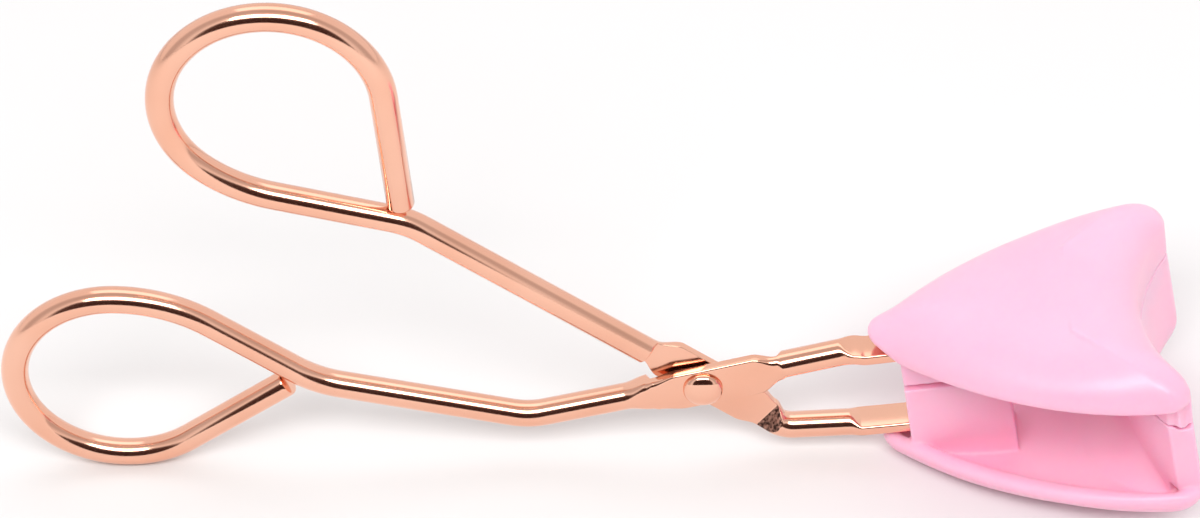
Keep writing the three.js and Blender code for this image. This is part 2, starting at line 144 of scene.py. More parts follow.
RIM_ROUND = 0.7
TIP_NOTCH = 1.5  # the upper rim rises over the arm at the tip
TIP_NOTCH_LENGTH = 3.6

PARTING = -0.9
PARTING_GAP = 0.12
PRESS_WALL = 2.8
PRESS_END = HALF_WIDTH - 1.6  # the wall's flat ends stand back from the shells' sides
RIB_HALF_WIDTH = 0.85  # the upper bar's rounded rib sits in the lower wall's groove
RIB_DROP = 0.45
RIB_GAP = 0.22
LEAN = 0.05  # slope of the lower jaw's front below the parting line
PAD_HALF_WIDTH = 0.6
PAD_HALF_SPAN = PRESS_END - 2.1
PAD_HEIGHT = 1.4
PAD_ROUND = 0.3
PAD_GROOVE = 2.2  # depth

COVE_HALF_SPAN = 12.4
COVE_REACH = 6.6  # how far the bulge runs along the floor, and how far it climbs the wall
COVE_RISE = 6.2
COVE_EDGE = (0.3, 0.2)  # what is left of its reach and its rise at its ends
COVE_SQUARENESS = 5  # how suddenly it fades there
COVE_FOOT = 0.8  # depth to which it is sunk into the floor

SOCKET_FRONT = 20.45
SOCKET_BACK = 31.0
SOCKET_HALF_WIDTH = 2.75
UPPER_SOCKET_FACE = -1.4
LOWER_SOCKET_FACE = -2.1
SOCKET_STEP = 3.0  # length of its front part, which is less tall because the shell is shallow there
SOCKET_OVERLAP = 1.0  # between its two parts
TAB_REACH = SOCKET_FRONT + 7.5

# Fineness of the meshes: points round a section, degrees between rings in a bend, and steps elsewhere.
SECTION_POINTS = 40
TURN_POINTS = 64
BEND_STEP = 3.0
STOP_STEPS = 12  # between two stops of a wire's section
TIP_STEPS = 14
SIDE_STEPS = 44
CORNER_STEPS = 14
FRONT_STEPS = 22
WALL_STEPS = 26
WALL_CORNER_STEPS = 10
DOME_STEPS = 24
RIM_STEPS = 12
RIB_STEPS = 14
BAR_STEPS = 60
WIRE_SHARP = 38  # edges sharper than this, in degrees, stay crisp
RIVET_SHARP = 40
JAW_SHARP = 60
PAD_SHARP = 50
# faces of the step past this get the dark step metal, whose darkness is painted shade
PAINTED_SHADE_FACING = 0.3  # cosine from which a face of the step counts as looking back at the rivet
VOXEL = 0.17
UPPER_SMOOTHING = 8  # rounds of smoothing after the bodies of a moulding are fused
LOWER_SMOOTHING = 5


# ---- small helpers ----

def lerp(a, b, t):
    return a + (b - a) * t


def smooth(t):
    t = min(max(t, 0.0), 1.0)
    return t * t * (3 - 2 * t)


def mesh_object(name, points, faces, place=PLACE):
    """A new object from points in the pivot frame. Its place goes into its vertices."""
    mesh = bpy.data.meshes.new(name)
    mesh.from_pydata([place @ Vector(p) for p in points], [], faces)
    obj = bpy.data.objects.new(name, mesh)
    bpy.context.scene.collection.objects.link(obj)
    return obj


def tidy(obj, distance=1e-6):
    """Merges doubled vertices, drops empty faces and turns all faces outwards."""
    bm = bmesh.new()
    bm.from_mesh(obj.data)
    bmesh.ops.remove_doubles(bm, verts=bm.verts, dist=distance)
    bmesh.ops.dissolve_degenerate(bm, edges=bm.edges, dist=distance / 10)
    bmesh.ops.recalc_face_normals(bm, faces=bm.faces)
    bm.to_mesh(obj.data)
    bm.free()
    return obj


def skin(rings, close_ends):
    """Faces between successive rings of equally many points."""
    count = len(rings[0])
    points = [p for ring in rings for p in ring]
    faces = []
    for r in range(len(rings) - 1):
        for i in range(count):
            a, b = r * count + i, r * count + (i + 1) % count
            faces.append((a, b, b + count, a + count))
    if close_ends:
        faces.append(tuple(range(count - 1, -1, -1)))
        faces.append(tuple(range((len(rings) - 1) * count, len(rings) * count)))
    return points, faces


def apply_modifiers(obj):
    """Swaps the mesh for its evaluated one and drops the modifiers."""
    depsgraph = bpy.context.evaluated_depsgraph_get()
    done = bpy.data.meshes.new_from_object(obj.evaluated_get(depsgraph))
    obj.modifiers.clear()
    obj.data = done
    return obj


def join(name, parts):
    """One mesh object that holds the parts' meshes as they are."""
    bm = bmesh.new()
    for part in parts:
        bm.from_mesh(part.data)
        bpy.data.objects.remove(part)
    mesh = bpy.data.meshes.new(name)
    bm.to_mesh(mesh)
    bm.free()
    obj = bpy.data.objects.new(name, mesh)
    bpy.context.scene.collection.objects.link(obj)
    return obj


def cut(obj, cutter):
    """Takes the cutter out of obj."""
    modifier = obj.modifiers.new("cut", "BOOLEAN")
    modifier.operation = "DIFFERENCE"
    modifier.solver = "EXACT"
    modifier.object = cutter
    apply_modifiers(obj)
    bpy.data.objects.remove(cutter)


def moulded(obj, rounds):
    """Fuses overlapping closed bodies into one skin with soft edges, as a moulding has."""
    remesh = obj.modifiers.new("fuse", "REMESH")
    remesh.mode = "VOXEL"
    remesh.voxel_size = VOXEL * MM
    remesh.use_smooth_shade = True
    soften = obj.modifiers.new("soften", "SMOOTH")
    soften.factor = 0.5
    soften.iterations = rounds
    return apply_modifiers(obj)


def shade(obj, angle):
    """Smooth shading, with edges sharper than the angle kept crisp."""
    obj.data.shade_smooth()
    obj.data.set_sharp_from_angle(angle=math.radians(angle))


def finish_piece(obj, material, body, node):
    """Gives a piece its material, the body that it moves with and the CAD node that it replaces."""
    obj.data.materials.append(material)
    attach(obj, body)
    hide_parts(node)


# ---- wires ----

class Route:
    """A bent wire's centre line in the XZ plane: straights and bends that follow each other."""

    def __init__(self, heading):
        self.pieces = []
        self.x, self.z, self.heading = 0.0, 0.0, heading
        self.length = 0.0
        self.used = 0.0  # length that the last bend took of the straight that follows it

    def add(self, length, turn=0.0, radius=0.0):
        self.pieces.append((self.length, length, turn, radius, self.x, self.z, self.heading))
        self.length += length
        self.x, self.z, self.heading = self.at(self.length)

    def bend(self, radius, turn):
        self.add(radius * math.radians(abs(turn)), turn, radius)

    def corner(self, run, radius, turn):
        """A bend whose corner lies run past the last corner, as on a bending drawing."""
        tangent = radius * math.tan(math.radians(abs(turn) / 2))
        self.add(run - self.used - tangent)
        self.bend(radius, turn)
        self.used = tangent

    def at(self, distance):
        """x, z and heading at a distance along the route."""
        piece = [p for p in self.pieces if p[0] <= distance + 1e-9] or self.pieces[:1]
        start, length, turn, radius, x, z, heading = piece[-1]
        gone = distance - start
        a = math.radians(heading)
        if not turn:
            return x + gone * math.cos(a), z + gone * math.sin(a), heading
        sign = math.copysign(1, turn)
        share = gone / length
        b = a + math.radians(turn * share)
        return (
            x + sign * radius * (math.sin(b) - math.sin(a)),
            z - sign * radius * (math.cos(b) - math.cos(a)),
            heading + turn * share,
        )

    def stops(self):
        """Distances at which the swept wire needs a ring."""
        out = [self.length]
        for start, length, turn, *_ in self.pieces:
            steps = max(1, math.ceil(abs(turn) / BEND_STEP))
            out += [start + length * i / steps for i in range(steps)]
        return out

    def distance_at_x(self, x):
        """Where a straight piece of the route reaches x."""
        piece = [p for p in self.pieces if p[4] <= x][-1]
        return piece[0] + (x - piece[4]) / math.cos(math.radians(piece[6]))


def handle_route(wire):
    """The hand's side: runs, lead-in, loop, and a tail cut just short of the handle it comes back to."""
    route = Route(wire["heading"])
    for run in wire["runs"]:
        route.corner(*run)
    x, z, run_heading = route.x, route.z, math.radians(route.heading)
    route.add(wire["loop_start"] - route.used)
    route.bend(LEAD_RADIUS, wire["lead"])
    route.bend(LOOP_RADIUS, wire["loop"])
    turn = math.radians(route.heading) - run_heading
    across = (route.x - x) * math.sin(run_heading) - (route.z - z) * math.cos(run_heading)
    short = (WIRE * (1 + abs(math.cos(turn))) + TAIL_GAP) / abs(math.sin(turn))
    route.add(across / math.sin(turn) - short)
    return route


def jaw_route(wire):
    """The jaw's side, up to the end of the tab in its socket."""
    route = Route(wire["jaw_heading"])
    for run in wire["jaw_runs"]:
        route.corner(*run)
    route.add((TAB_REACH - route.x) / math.cos(math.radians(route.heading)))
    return route


# A section is (half width in the XZ plane, lowest y, highest y, corner radius low, corner radius high).
ROUND = (WIRE, -WIRE, WIRE, WIRE, WIRE)
TAB = (TAB_HALF_THICKNESS, -TAB_HALF_WIDTH, TAB_HALF_WIDTH, TAB_EDGE, TAB_EDGE)


def lap_section(side, half, inner, outer, edge):
    """The section at one stop of a flat. Inner is below 0 where the wire is still nearly round."""
    inner_edge = LAP_INNER_EDGE if inner > 0 else edge
    if side > 0:
        return (half, inner, outer, inner_edge, edge)
    return (half, -outer, -inner, edge, inner_edge)


def shrunk(section, inset):
    """The section with every side moved in."""
    half, low, high, r_low, r_high = section
    return (half - inset, low + inset, high - inset, r_low - inset, r_high - inset)


def section_stops(wire, handle, jaw):
    """Where along the wire its section is set, from the loop's cut end (below 0) to the tab's."""
    tab = jaw.distance_at_x(wire["tab_start"])
    flat = [(stop[0], lap_section(wire["side"], *stop[1:])) for stop in wire["flat"]]
    return [
        (-handle.length, shrunk(ROUND, END_ROUND)),
        (-handle.length + END_ROUND * 0.3, shrunk(ROUND, END_ROUND * 0.3)),  # a rounded end, in two facets
        (-handle.length + END_ROUND, ROUND),
        (flat[0][0] - wire["shoulders"][0], ROUND),
        *flat,
        (flat[-1][0] + wire["shoulders"][1], ROUND),
        (tab, ROUND),
        (tab + TAB_NECK, TAB),
        (jaw.length, TAB),
    ]


def section_at(stops, distance):
    """The section between two stops, eased from one to the other."""
    after = next(i for i, s in enumerate(stops) if i and s[0] >= distance - 1e-9)
    (a, low), (b, high) = stops[after - 1], stops[after]
    share = smooth((distance - a) / (b - a))
    return [lerp(p, q, share) for p, q in zip(low, high)]


def section_ring(place, section):
    """A rounded rectangle square to the wire."""
    x, z, heading = place
    half, low, high, r_low, r_high = section
    a = math.radians(heading)
    ring = []
    for i in range(SECTION_POINTS):
        angle = 2 * math.pi * (i + 0.5) / SECTION_POINTS
        c, s = math.cos(angle), math.sin(angle)
        r = max(min(r_high if s > 0 else r_low, half), 0.01)
        out = math.copysign(half - r, c) + r * c
        y = (high - r + r * s) if s > 0 else (low + r + r * s)
        ring.append((x - out * math.sin(a), y, z + out * math.cos(a)))
    return ring


def ring_distances(handle, jaw, stops):
    """A ring at each bend step and stop, and more where the section changes. Near doubles are dropped."""
    marks = [-s for s in handle.stops()] + jaw.stops() + [s[0] for s in stops]
    for (a, low), (b, high) in zip(stops, stops[1:]):
        if low != high and b - a > 0.5:
            marks += [lerp(a, b, i / STOP_STEPS) for i in range(1, STOP_STEPS)]
    distances = []
    for s in sorted(marks):
        if not distances or s - distances[-1] > 0.02:
            distances.append(s)
    return distances


def wire_mesh(name, wire):
    """One handle: the wire from the loop's cut end through the pivot to the tab, with its rivet hole."""
    handle, jaw = handle_route(wire), jaw_route(wire)
    stops = section_stops(wire, handle, jaw)
    rings = []
    for s in ring_distances(handle, jaw, stops):
        place = handle.at(-s) if s < 0 else jaw.at(s)
        if s < 0:
            place = (place[0], place[1], place[2] + 180)
        rings.append(section_ring(place, section_at(stops, s)))
    obj = tidy(mesh_object(name, *skin(rings, True)))
    cut(obj, disc_tool("rivet_hole", RIVET_SHANK + RIVET_HOLE_GAP, 4))
    shade(obj, WIRE_SHARP)
    return obj


def mark_sheared_painted_shade(obj, wire, material):
    """The step at the jaw end of the flat was sheared, not polished: its faces look back at the rivet and
    are given rough metal darkened with painted shade.
    """
    obj.data.materials.append(material)
    back = PLACE.inverted()
    heading = math.radians(wire["jaw_heading"])
    axis = Vector((math.cos(heading), 0, math.sin(heading)))
    start = wire["flat"][-1][0]
    end = start + wire["shoulders"][1]
    for face in obj.data.polygons:
        along = (back @ face.center).dot(axis)
        normal = (back.to_3x3() @ face.normal).normalized()
        looks_back = normal.dot(axis) < -PAINTED_SHADE_FACING
        if start < along < end and looks_back:
            face.material_index = 1


def turned(name, profile):
    """A body turned about the rivet axis from (radius, y) points that start and end on the axis."""
    angles = [2 * math.pi * i / TURN_POINTS for i in range(TURN_POINTS)]
    rings = [[(r * math.cos(a), y, r * math.sin(a)) for a in angles] for r, y in profile]
    return tidy(mesh_object(name, *skin(rings, False)), 1e-7)


def disc_tool(name, radius, half_length):
    """A plain cylinder on the rivet axis, to cut with."""
    return turned(name, [(0, -half_length), (radius, -half_length), (radius, half_length), (0, half_length)])


def quarter_turn(steps):
    return [math.pi / 2 * i / steps for i in range(steps + 1)]


def rivet_dome(seat, sign, radius, height, lip):
    """Profile of a shallow dome on a small rounded lip, from the seat to the axis."""
    points = []
    for a in quarter_turn(4):
        points.append((radius - lip * (1 - math.sin(a)), sign * (seat + lip * (1 - math.cos(a)))))
    for a in quarter_turn(12)[1:]:
        points.append((radius * math.cos(a), sign * (seat + lip + (height - lip) * math.sin(a))))
    return points


def rivet_mesh():
    """The rivet: a domed head in front, a shank through both flats and a low peened tail behind."""
    seat = LAP_FACES[1] + RIVET_SEAT
    head = rivet_dome(seat, -1, **RIVET_HEAD)
    tail = rivet_dome(seat, 1, **RIVET_TAIL)
    obj = turned("rivet", head[::-1] + [(RIVET_SHANK, -seat), (RIVET_SHANK, seat)] + tail)
    shade(obj, RIVET_SHARP)
    return obj


# ---- jaws ----

def arc(cx, cy, radius, start, end, steps):
    """Points of a circle's arc, both ends included."""
    angles = [lerp(start, end, i / steps) for i in range(steps + 1)]
    return [(cx + radius * math.cos(a), cy + radius * math.sin(a)) for a in angles]


def corner_arc():
    """The front corner's middle, and the angle at which it meets the concave front."""
    y = HALF_WIDTH - CORNER
    x = FRONT_CENTRE - math.sqrt((FRONT_RADIUS + CORNER) ** 2 - y ** 2)
    return x, y, math.atan2(-y, FRONT_CENTRE - x)


def side_width(x):
    """Half the jaw's width at x."""
    x = min(x, SIDE_END)
    return HALF_WIDTH * (1 - (1 - (x - APEX) / (SIDE_END - APEX)) ** 2)


def tip_arc():
    """Where the tip's circle touches the parabolic side, and the circle's middle."""
    low, high = APEX, SIDE_END
    for _ in range(50):
        x = (low + high) / 2
        slope = 2 * HALF_WIDTH * (1 - (x - APEX) / (SIDE_END - APEX)) / (SIDE_END - APEX)
        if side_width(x) * math.hypot(1, slope) < TIP_RADIUS:
            low = x
        else:
            high = x
    return x, side_width(x), x + side_width(x) * slope


def outline():
    """Plan of a jaw as (x, y, spine x, spine y), counterclockwise from the tip. The spine is a T."""
    touch, width, middle = tip_arc()
    cx, cy, end = corner_arc()
    tip = arc(middle, 0, TIP_RADIUS, math.pi, math.atan2(width, touch - middle), TIP_STEPS)
    side_x = [lerp(touch, cx, (i + 1) / SIDE_STEPS) for i in range(SIDE_STEPS)]
    side = [(x, side_width(x)) for x in side_x]
    corner = arc(cx, cy, CORNER, math.pi / 2, end, CORNER_STEPS)[1:]
    front = arc(FRONT_CENTRE, 0, FRONT_RADIUS, math.pi + end, math.pi, FRONT_STEPS)[1:]
    reach = [min(max((x - APEX) / (cx - APEX), 0), 1) for x, _ in tip + side]
    branch = SPINE_BRANCH * corner[-1][1]
    half = []
    for (x, y), t in zip(tip + side, reach):
        stem, arm = min(t / SPINE_FORK, 1), max(t - SPINE_FORK, 0) / (1 - SPINE_FORK)
        half.append((x, y, lerp(SPINE_START, SPINE_END, stem), branch * arm))
    half += [(x, y, SPINE_END, branch) for x, y in corner]
    half += [(x, y, SPINE_END, SPINE_BRANCH * y) for x, y in front]
    return [(x, -y, sx, -sy) for x, y, sx, sy in half] + half[-2:0:-1]


OUTLINE = outline()


def tip_drop(x):
    """How much lower the dome is at x than over the jaw's middle."""
    away = min(max((x - APEX) / TIP_LENGTH, 0), 1)
    return TIP_DROP * (1 - away) ** 2


def inset_ring(depth, share, height):
    """The outline moved in by depth, then by a share of what is left to the spine."""
    ring = []
    for x, y, spine_x, spine_y in OUTLINE:
        way = lerp(depth / math.hypot(x - spine_x, y - spine_y), 1, share)
        px = lerp(x, spine_x, way)
        ring.append((px, lerp(y, spine_y, way), height(px)))
    return ring


def dish(name, base, height, fullness, flip):
    """A thin domed shell with a rounded rim, closed along its spine. base is the rim's rise at x."""
    def rise(share):
        return math.sqrt(1 - (1 - share) ** fullness)

    shares = [(i / DOME_STEPS) ** 2 for i in range(DOME_STEPS + 1)]
    rings = []
    for share in reversed(shares):
        top = lambda x, s=share: lerp(base(x), height - tip_drop(x), rise(s))
        rings.append(inset_ring(0, share, top))
    for i in range(1, RIM_STEPS):
        b = math.pi * i / RIM_STEPS
        lip = lambda x, b=b: base(x) - RIM_ROUND * math.sin(b)
        rings.append(inset_ring(WALL / 2 * (1 - math.cos(b)), 0, lip))
    for share in shares:
        roof = lambda x, s=share: lerp(base(x), height - WALL - tip_drop(x), rise(s))
        rings.append(inset_ring(WALL, share, roof))
    if flip:
        rings = [[(x, y, LOWER_RIM - RIM_ROUND - z) for x, y, z in ring] for ring in rings]
    else:
        rings = [[(x, y, UPPER_RIM + RIM_ROUND + z) for x, y, z in ring] for ring in rings]
    return tidy(mesh_object(name, *skin(rings, False)), 1e-7)


def prism(name, plan, z0, z1):
    """A closed body with the same plan from z0 to z1."""
    rings = [[(x, y, z) for x, y in plan] for z in (z0, z1)]
    return tidy(mesh_object(name, *skin(rings, True)), 1e-7)


def block(name, x0, x1, y, z0, z1):
    """A box that reaches y to either side of the middle plane."""
    return prism(name, [(x0, -y), (x1, -y), (x1, y), (x0, y)], z0, z1)


def wall_plan():
    """Concave front, rounded corners, flat ends and a parallel inner face."""
    cx, cy, end = corner_arc()
    inner = FRONT_RADIUS + PRESS_WALL
    cut_angle = math.asin((PRESS_END - cy) / CORNER)
    inner_end = math.asin(PRESS_END / inner)
    half = arc(FRONT_CENTRE, 0, FRONT_RADIUS, math.pi, math.pi + end, WALL_STEPS)
    half += arc(cx, cy, CORNER, end, cut_angle, WALL_CORNER_STEPS)[1:]
    half += arc(FRONT_CENTRE, 0, inner, math.pi - inner_end, math.pi, WALL_STEPS)
    return half + [(x, -y) for x, y in half[-2:0:-1]]


def curved_bar(name, half_span, section):
    """A bar that follows the middle of the pressing wall. section holds (outwards, z) points."""
    middle = FRONT_RADIUS + PRESS_WALL / 2
    end = math.asin(half_span / middle)
    rings = []
    for i in range(BAR_STEPS + 1):
        a = math.pi + lerp(-end, end, i / BAR_STEPS)
        c, s = math.cos(a), math.sin(a)
        rings.append([(FRONT_CENTRE + (middle + out) * c, (middle + out) * s, z) for out, z in section])
    return tidy(mesh_object(name, *skin(rings, True)), 1e-7)


def round_bottomed(half, bottom, top, depth):
    """Section of a bar with a rounded lower edge."""
    angles = [math.pi * i / RIB_STEPS for i in range(RIB_STEPS + 1)]
    low = [(-half * math.cos(a), bottom + depth * (1 - math.sin(a))) for a in angles]
    return low + [(half, top), (-half, top)]


def cove(name):
    """The soft bulge that carries the front wall down into the lower jaw's floor."""
    across, along = 40, 14  # steps
    floor = LOWER_RIM - LOWER_HEIGHT + WALL - 0.1
    radius = FRONT_RADIUS + PRESS_WALL - 0.6
    rings = []
    for i in range(across + 1):
        y = lerp(-COVE_HALF_SPAN, COVE_HALF_SPAN, i / across)
        fade = max(1 - (abs(y) / COVE_HALF_SPAN) ** COVE_SQUARENESS, 0.0)
        reach, rise = COVE_EDGE[0] + COVE_REACH * fade, COVE_EDGE[1] + COVE_RISE * fade
        section = []
        for k in range(along + 1):
            t = k / along
            height = rise * (1 - math.sqrt(max(1 - (1 - t) ** 2, 0)))
            section.append((radius + reach * t, floor + height))
        section += [(radius + reach, floor - COVE_FOOT), (radius, floor - COVE_FOOT)]
        c, s = math.cos(math.asin(y / radius)), math.sin(math.asin(y / radius))
        rings.append([(FRONT_CENTRE - out * c, out * s, z) for out, z in section])
    return tidy(mesh_object(name, *skin(rings, True)), 1e-7)


def lean(obj):
    """The lower jaw's front leans forward below the parting line."""
    back = PLACE.inverted()
    for v in obj.data.vertices:
        p = back @ v.co
        share = smooth((p.x - SPINE_START) / (SPINE_END - SPINE_START))
        p.x += LEAN * share * max(0.0, PARTING - p.z)
        v.co = PLACE @ p


def tip_notch(x):
    """The upper rim's rise at x."""
    return TIP_NOTCH * (1 - smooth((x - APEX) / TIP_NOTCH_LENGTH - 0.3))


def socket(low_front, high_front, low_back, high_back):
    """The block that holds a tab, in two overlapping steps."""
    step = SOCKET_FRONT + SOCKET_STEP
    return [
        block("socket", SOCKET_FRONT, step, SOCKET_HALF_WIDTH, low_front, high_front),
        block("socket_back", step - SOCKET_OVERLAP, SOCKET_BACK, SOCKET_HALF_WIDTH, low_back, high_back),
    ]


def upper_jaw_mesh():
    """Shell, socket, and a pressing wall whose root reaches into the shell's roof."""
    root = UPPER_RIM + UPPER_HEIGHT - WALL + UPPER_ROOT
    face = PARTING + PARTING_GAP / 2
    rib = round_bottomed(RIB_HALF_WIDTH, face - RIB_DROP, UPPER_RIM + 1, RIB_HALF_WIDTH)
    wall_root = [(-0.6, UPPER_RIM), (1.4, UPPER_RIM), (1.4, root - 1), (0.8, root - 1)]
    parts = [
        dish("shell", tip_notch, UPPER_HEIGHT - RIM_ROUND, UPPER_FULLNESS, False),
        *socket(UPPER_SOCKET_FACE, UPPER_RIM + 1.2, UPPER_SOCKET_FACE, root),
        prism("wall", wall_plan(), face, UPPER_RIM + 0.5),
        curved_bar("wall_root", PRESS_END - 3, wall_root),
        curved_bar("rib", PRESS_END, rib),
    ]
    obj = moulded(join("upper_jaw_shell", parts), UPPER_SMOOTHING)
    shade(obj, JAW_SHARP)
    return obj


def lower_jaw_mesh():
    """Shell, socket, and a grooved front wall whose root and cove reach into the shell's floor."""
    face = PARTING - PARTING_GAP / 2
    root = LOWER_RIM - LOWER_HEIGHT + WALL - LOWER_ROOT
    wall = prism("wall", wall_plan(), LOWER_RIM - 0.5, face)
    groove = round_bottomed(RIB_HALF_WIDTH + 0.1, face - RIB_DROP - RIB_GAP, face + 1, RIB_HALF_WIDTH)
    cut(wall, curved_bar("groove", PRESS_END + 1, groove))
    bottom, half = face - PAD_GROOVE, PAD_HALF_WIDTH
    pad_groove = [(-half, bottom), (half, bottom), (half, face), (-half, face)]
    cut(wall, curved_bar("pad_groove", PAD_HALF_SPAN, pad_groove))
    wall_root = [(-0.4, LOWER_RIM), (0.8, root + 0.8), (1.4, root + 0.8), (1.4, LOWER_RIM)]
    parts = [
        dish("shell", lambda x: 0.0, LOWER_HEIGHT - RIM_ROUND, LOWER_FULLNESS, True),
        *socket(LOWER_RIM - 1.2, LOWER_SOCKET_FACE, root, LOWER_SOCKET_FACE),
        wall,
        curved_bar("wall_root", PRESS_END - 2, wall_root),
        cove("cove"),
    ]
    obj = join("lower_jaw_shell", parts)
    lean(obj)
    moulded(obj, LOWER_SMOOTHING)
    for v in obj.data.vertices:
        v.co.z = max(v.co.z, 0.0)  # the flat land that the tool stands on
    shade(obj, JAW_SHARP)
    return obj


def pad_mesh():
    """The silicone strip, with a rounded top, at the bottom of the groove."""
    top = PARTING - PARTING_GAP / 2 - RIB_DROP - RIB_GAP - 0.02
    half = PAD_HALF_WIDTH - 0.03
    section = [(-half, top - PAD_HEIGHT), (half, top - PAD_HEIGHT)]
    for i in range(11):
        a = math.pi * i / 10
        section.append((half * math.cos(a), top - PAD_ROUND + PAD_ROUND * math.sin(a)))
    obj = curved_bar("pad", PAD_HALF_SPAN - 0.05, section)
    shade(obj, PAD_SHARP)
    return obj


# ---- materials ----

def new_material(name):
    """A material with its node tree and its shader."""
    material = bpy.data.materials.new(name)
    material.use_nodes = True
    tree = material.node_tree
    return material, tree, tree.nodes["Principled BSDF"]


def noise(tree, scale, detail):
    """Noise from 0 to 1 in object coordinates, scale per metre."""
    where = tree.nodes.new("ShaderNodeTexCoord")
    texture = tree.nodes.new("ShaderNodeTexNoise")
    texture.inputs["Scale"].default_value = scale
    texture.inputs["Detail"].default_value = detail
    tree.links.new(where.outputs["Object"], texture.inputs["Vector"])
    return texture.outputs["Fac"]


def tint(tree, source, shader, low, high, start=0.0, end=1.0):
    """Base colour that goes from low to high as the source goes from start to end."""
    ramp = tree.nodes.new("ShaderNodeValToRGB")
    for element, position, colour in zip(ramp.color_ramp.elements, (start, end), (low, high)):
        element.position = position
        element.color = (*colour, 1)
    tree.links.new(source, ramp.inputs["Fac"])
    tree.links.new(ramp.outputs["Color"], shader.inputs["Base Color"])


def remap(tree, source, low, high):
    """The source's 0 to 1 carried to low to high."""
    node = tree.nodes.new("ShaderNodeMapRange")
    node.inputs["To Min"].default_value = low
    node.inputs["To Max"].default_value = high
    tree.links.new(source, node.inputs["Value"])
    return node.outputs["Result"]


def bump(tree, source, strength, distance):
    """Fine relief, distance in metres."""
    node = tree.nodes.new("ShaderNodeBump")
    node.inputs["Strength"].default_value = strength
    node.inputs["Distance"].default_value = distance
    tree.links.new(source, node.inputs["Height"])
    return node.outputs["Normal"]


def rose_gold(name, low, high):
    """Polished plating: a slight tint drift, faint handling marks in the gloss, a hint of grain."""
    material, tree, shader = new_material(name)
    shader.inputs["Metallic"].default_value = 1.0
    drift = noise(tree, 90, 2)
    tint(tree, drift, shader, (0.88, 0.47, 0.33), (0.92, 0.53, 0.39), 0.35, 0.7)
    marks = noise(tree, 900, 6)
    tree.links.new(remap(tree, marks, low, high), shader.inputs["Roughness"])
    grain = noise(tree, 2600, 3)
    tree.links.new(bump(tree, grain, 0.05, 0.00002), shader.inputs["Normal"])
    return material


def sheared_metal_painted_shade():
    """Torn, unpolished metal under thin plating, with painted shade: its base colour is darkened almost to
    black.
    """
    material, tree, shader = new_material("sheared_metal_painted_shade")
    shader.inputs["Metallic"].default_value = 1.0
    torn_and_shade = noise(tree, 3200, 4)
    # painted shade: the near-black to dark brown base colour stands in for the shade on the step face
    tint(tree, torn_and_shade, shader, (0.05, 0.025, 0.02), (0.45, 0.24, 0.18), 0.4, 0.65)
    tree.links.new(remap(tree, torn_and_shade, 0.25, 0.6), shader.inputs["Roughness"])
    tree.links.new(bump(tree, torn_and_shade, 0.8, 0.0002), shader.inputs["Normal"])
    return material


def pink_plastic():
    """Satin-gloss moulding: a touch of light inside, faint cloudiness and a very fine moulded grain."""
    material, tree, shader = new_material("pink_plastic")
    cloud = noise(tree, 60, 3)
    tint(tree, cloud, shader, (0.98, 0.48, 0.64), (0.99, 0.52, 0.68), 0.3, 0.75)
    gloss = noise(tree, 700, 4)
    tree.links.new(remap(tree, gloss, 0.26, 0.36), shader.inputs["Roughness"])
    grain = noise(tree, 3800, 2)
    tree.links.new(bump(tree, grain, 0.06, 0.00003), shader.inputs["Normal"])
    shader.inputs["Subsurface Weight"].default_value = 0.6
    shader.inputs["Subsurface Radius"].default_value = (1.0, 0.45, 0.6)
    shader.inputs["Subsurface Scale"].default_value = 0.0018
    shader.inputs["Specular IOR Level"].default_value = 0.5
    return material


def silicone():
    """Pale matt rubber with a faint mottle."""
    material, tree, shader = new_material("silicone")
    mottle = noise(tree, 400, 4)
    tint(tree, mottle, shader, (0.82, 0.66, 0.72), (0.9, 0.76, 0.81))
    tree.links.new(remap(tree, mottle, 0.5, 0.65), shader.inputs["Roughness"])
    tree.links.new(bump(tree, mottle, 0.1, 0.00003), shader.inputs["Normal"])
    shader.inputs["Subsurface Weight"].default_value = 0.4
    shader.inputs["Subsurface Radius"].default_value = (1.0, 0.6, 0.6)
    shader.inputs["Subsurface Scale"].default_value = 0.001
    return material


def floor_material():
    """Plain matt pale grey."""
    material, tree, shader = new_material("pale_floor")
    grain = noise(tree, 12, 2)
    tint(tree, grain, shader, (0.77, 0.77, 0.77), (0.8, 0.8, 0.8))
    shader.inputs["Roughness"].default_value = 0.9
    shader.inputs["Specular IOR Level"].default_value = 0.1
    return material


# ---- studio ----

FLOOR_HALF = 0.9
FLOOR_GAP = 0.00002  # just under the tool
LIGHT_AIM = (0, 0, 0.02)
DARK_PATCH_ELEVATION = math.radians(17)
CAMERA_DISTANCE = 0.4
CAMERA_ELEVATION = math.radians(42.5)
CAMERA_LENS = 120
CAMERA_ROLL = math.radians(9.0) - TILT  # the picture shows the tool a little steeper than it stands
TARGET = (-10.57, 17.02)  # from the pivot to the picture's middle, along the picture's x and z, mm


def make_floor():
    corners = [(-1, -1), (1, -1), (1, 1), (-1, 1)]
    points = [(x * FLOOR_HALF, y * FLOOR_HALF, -FLOOR_GAP) for x, y in corners]
    floor = mesh_object("floor", points, [(0, 1, 2, 3)], Matrix())
    floor.data.materials.append(floor_material())


def make_light(name, size, energy, location):
    """A soft rectangle of light, size in metres and energy in watts, aimed at the tool."""
    data = bpy.data.lights.new(name, "AREA")
    data.shape = "RECTANGLE"
    data.size, data.size_y = size
    data.energy = energy
    light = bpy.data.objects.new(name, data)
    light.location = location
    light.rotation_euler = (Vector(LIGHT_AIM) - Vector(location)).to_track_quat("-Z", "Y").to_euler()
    bpy.context.scene.collection.objects.link(light)


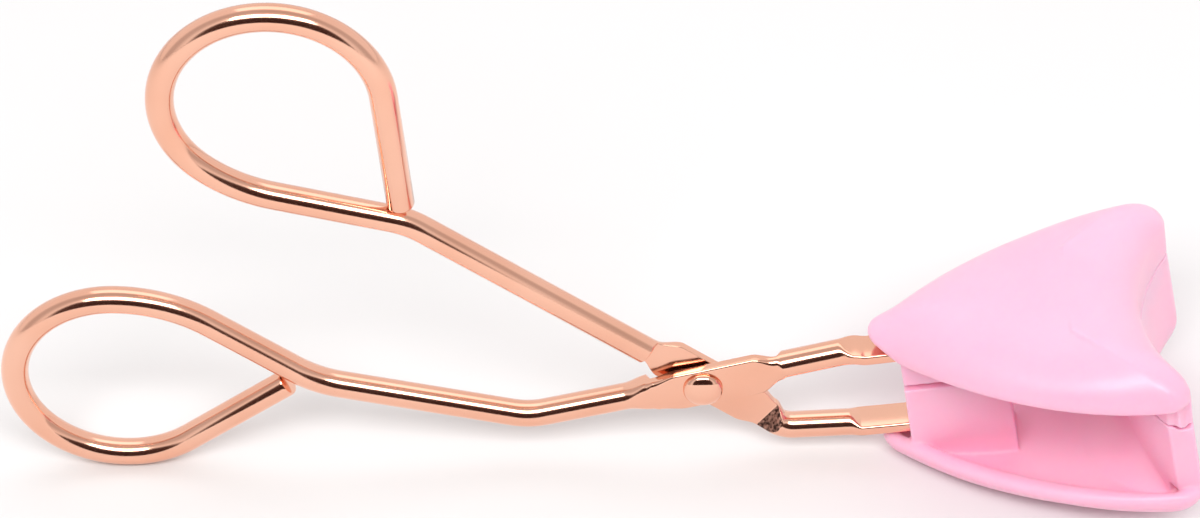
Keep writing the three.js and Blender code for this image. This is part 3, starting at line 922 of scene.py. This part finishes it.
def make_world():
    """A pale room with a soft-edged dark patch in front, so that polished metal has something to show."""
    world = bpy.data.worlds.new("studio")
    bpy.context.scene.world = world
    world.use_nodes = True
    tree = world.node_tree
    where = tree.nodes.new("ShaderNodeTexCoord")
    toward = tree.nodes.new("ShaderNodeVectorMath")
    toward.operation = "DOT_PRODUCT"
    toward.inputs[1].default_value = (0, -math.cos(DARK_PATCH_ELEVATION), math.sin(DARK_PATCH_ELEVATION))
    ramp = tree.nodes.new("ShaderNodeValToRGB")
    stops = [
        (0.0, (0.95, 0.93, 0.93)),
        (0.25, (0.6, 0.57, 0.57)),
        (0.5, (0.62, 0.6, 0.6)),
        (0.74, (1.0, 1.0, 1.0)),
        (0.81, (0.08, 0.045, 0.04)),
        (1.0, (0.04, 0.02, 0.018)),
    ]
    elements = ramp.color_ramp.elements
    while len(elements) < len(stops):
        elements.new(0.5)
    for element, (position, colour) in zip(elements, stops):
        element.position = position
        element.color = (*colour, 1)
    tree.links.new(where.outputs["Generated"], toward.inputs[0])
    tree.links.new(toward.outputs["Value"], ramp.inputs["Fac"])
    tree.links.new(ramp.outputs["Color"], tree.nodes["Background"].inputs["Color"])
    tree.nodes["Background"].inputs["Strength"].default_value = 1.0


def make_camera():
    """A long lens above the front, turned so that the tool lies in the picture as photographed."""
    data = bpy.data.cameras.new("camera")
    data.lens = CAMERA_LENS
    data.sensor_width = 36
    data.clip_start = 0.01
    camera = bpy.data.objects.new("camera", data)
    turn = Matrix.Rotation(CAMERA_ROLL, 3, "Y")
    target = PIVOT + turn @ Vector((TARGET[0] * MM, 0, TARGET[1] * MM))
    right = turn @ Vector((1, 0, 0))
    back = turn @ Vector((0, -math.cos(CAMERA_ELEVATION), math.sin(CAMERA_ELEVATION)))
    up = back.cross(right)
    basis = Matrix((right, up, back)).transposed()
    camera.matrix_world = Matrix.Translation(target + back * CAMERA_DISTANCE) @ basis.to_4x4()
    bpy.context.scene.collection.objects.link(camera)
    bpy.context.scene.camera = camera


# ---- build ----

make_camera()
make_floor()
make_world()
make_light("overhead", (0.5, 0.25), 0.3, (0.0, 0.25, 0.5))
make_light("front", (0.8, 0.26), 5.0, (0.0, -0.47, 0.64))

gold = rose_gold("rose_gold_wire", 0.1, 0.17)
rivet_gold = rose_gold("rose_gold_rivet", 0.06, 0.11)
pink = pink_plastic()

upper_handle = wire_mesh("upper_handle", UPPER_HANDLE)
lower_handle = wire_mesh("lower_handle", LOWER_HANDLE)
finish_piece(upper_handle, gold, "lower_jaw_side", "upper_handle_wire")
# the step faces that look back at the rivet get the rough metal with painted shade
mark_sheared_painted_shade(upper_handle, UPPER_HANDLE, sheared_metal_painted_shade())
finish_piece(lower_handle, gold, "upper_jaw_side", "lower_handle_wire")
finish_piece(rivet_mesh(), rivet_gold, "lower_jaw_side", "pivot_rivet")
finish_piece(upper_jaw_mesh(), pink, "upper_jaw_side", "upper_jaw")
finish_piece(lower_jaw_mesh(), pink, "lower_jaw_side", "lower_jaw")
finish_piece(pad_mesh(), silicone(), "lower_jaw_side", "silicone_pad")

bpy.context.scene.view_settings.view_transform = "Standard"
